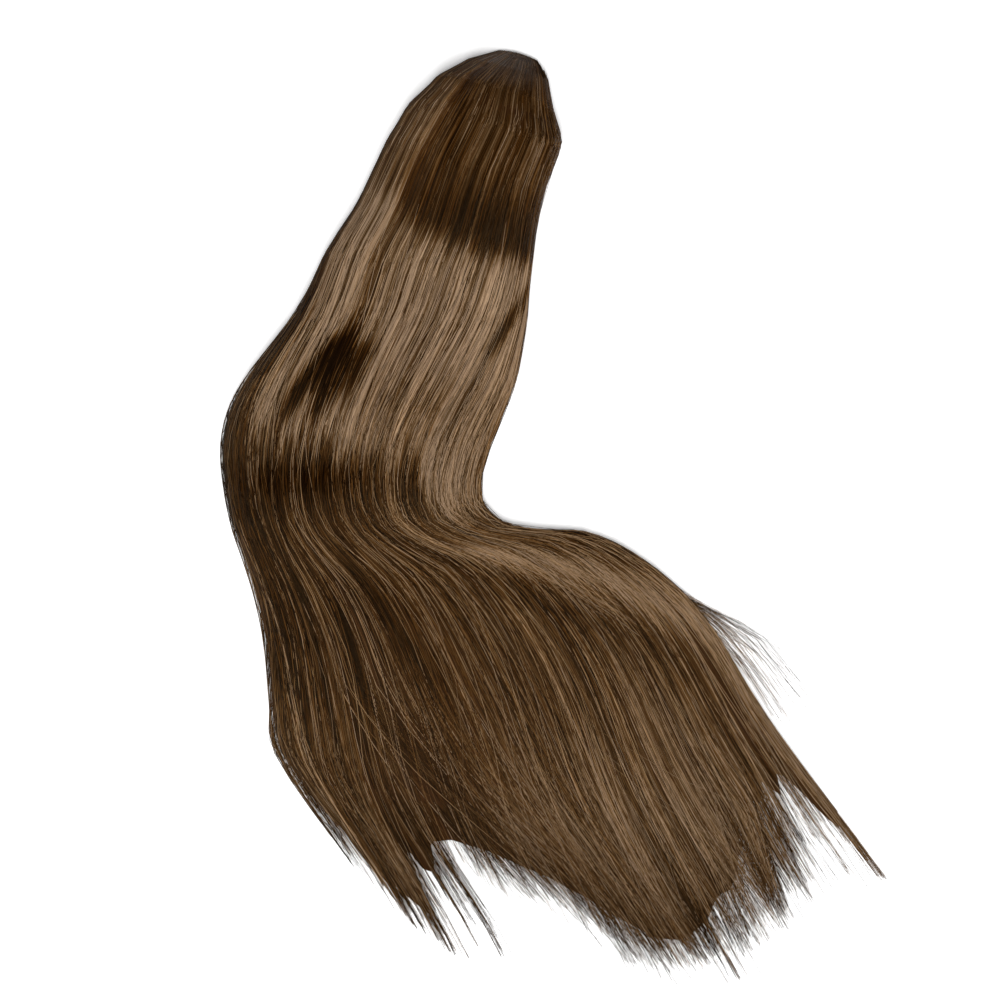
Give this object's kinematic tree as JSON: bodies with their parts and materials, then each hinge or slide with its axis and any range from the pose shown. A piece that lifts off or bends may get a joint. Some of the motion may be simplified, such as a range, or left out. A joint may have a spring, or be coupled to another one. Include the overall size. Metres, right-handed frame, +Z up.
{
  "type": "claw clip ponytail",
  "caption": "Long straight ponytail hairpiece sewn over a toothed claw clip, lying flat with its hair bent to one side and fanned out.",
  "frame": {"origin": "on the table, under the middle of the piece's box", "axes": "+Z up from the table, +Y from the hair's tips towards the claw, +X to the right seen from above"},
  "size_m": [0.323, 0.4624, 0.0498],
  "materials": {
    "hair": "medium brown straight hair with a soft sheen",
    "claw_plastic": "satin dark brown moulded plastic"
  },
  "bodies": {
    "root": {"claw_clip": "claw_plastic", "left_fall": "hair", "middle_fall": "hair", "right_fall": "hair"}
  },
  "joints": []
}
